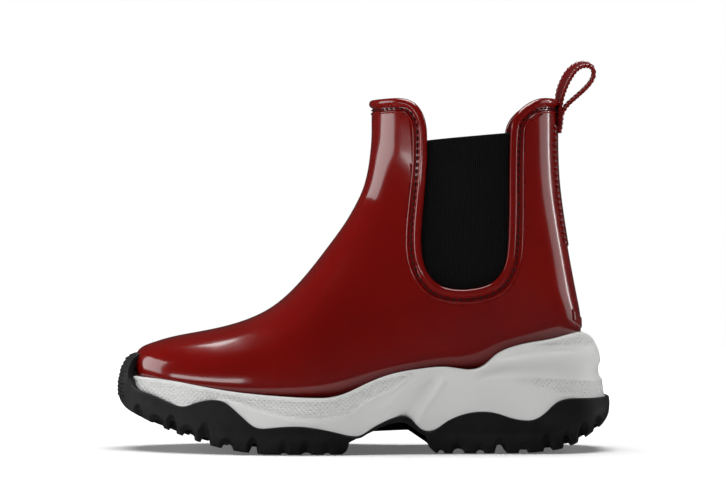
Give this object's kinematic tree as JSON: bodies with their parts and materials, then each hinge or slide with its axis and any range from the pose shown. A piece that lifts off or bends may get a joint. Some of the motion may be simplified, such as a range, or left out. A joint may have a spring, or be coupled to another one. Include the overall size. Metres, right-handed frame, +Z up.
{
  "type": "rain boot",
  "caption": "Left ankle rain boot with a hollow moulded upper, elastic side gores, a thick foam midsole, a lugged rubber outsole, a lift-out footbed and a heel pull loop.",
  "frame": {"origin": "on the ground, under the middle of the boot's bounding box", "axes": "+Z up, -X towards the toe, +X towards the heel, -Y the outer side of the left foot"},
  "size_m": [0.2823, 0.1048, 0.2219],
  "materials": {
    "red_pvc": "high-gloss moulded PVC, dark red",
    "red_pvc_edge": "dark red PVC tape, satin gloss",
    "black_elastic": "black ribbed elastic webbing, matte",
    "black_lining": "black knitted lining, matte",
    "thread": "dark sewing thread",
    "white_foam": "off-white moulded foam, matte",
    "black_rubber": "black moulded rubber, satin",
    "shank_plate": "stiff reinforced plastic plate",
    "grey_foam": "cut foam sheet",
    "cover_cloth": "dark knitted cover cloth"
  },
  "bodies": {
    "boot": {"upper_shell": "red_pvc", "lining_sock": "black_lining", "gore_lateral": "black_elastic", "gore_medial": "black_elastic", "gore_stitching_lateral": "thread", "gore_stitching_medial": "thread", "collar_stitching": "thread", "backstay_strip": "red_pvc_edge", "heel_tab": "red_pvc_edge", "backstay_stitching": "thread", "midsole": "white_foam", "outsole": "black_rubber", "arch_shank": "shank_plate"},
    "pull_loop": {"pull_loop": "red_pvc_edge"},
    "footbed": {"footbed_foam": "grey_foam", "footbed_cover": "cover_cloth"}
  },
  "joints": [
    {"name": "pull_loop_swing", "type": "hinge", "parent": "boot", "child": "pull_loop", "pos_m": [0.1134, 0, 0.1905], "axis": [0, 1, 0], "range_deg": [-8, 80], "stiffness_Nm_per_rad": 0.02},
    {"name": "footbed_lift", "type": "hinge", "parent": "boot", "child": "footbed", "pos_m": [-0.123, 0, 0.0385], "axis": [0, -1, 0], "range_deg": [0, 7]}
  ]
}
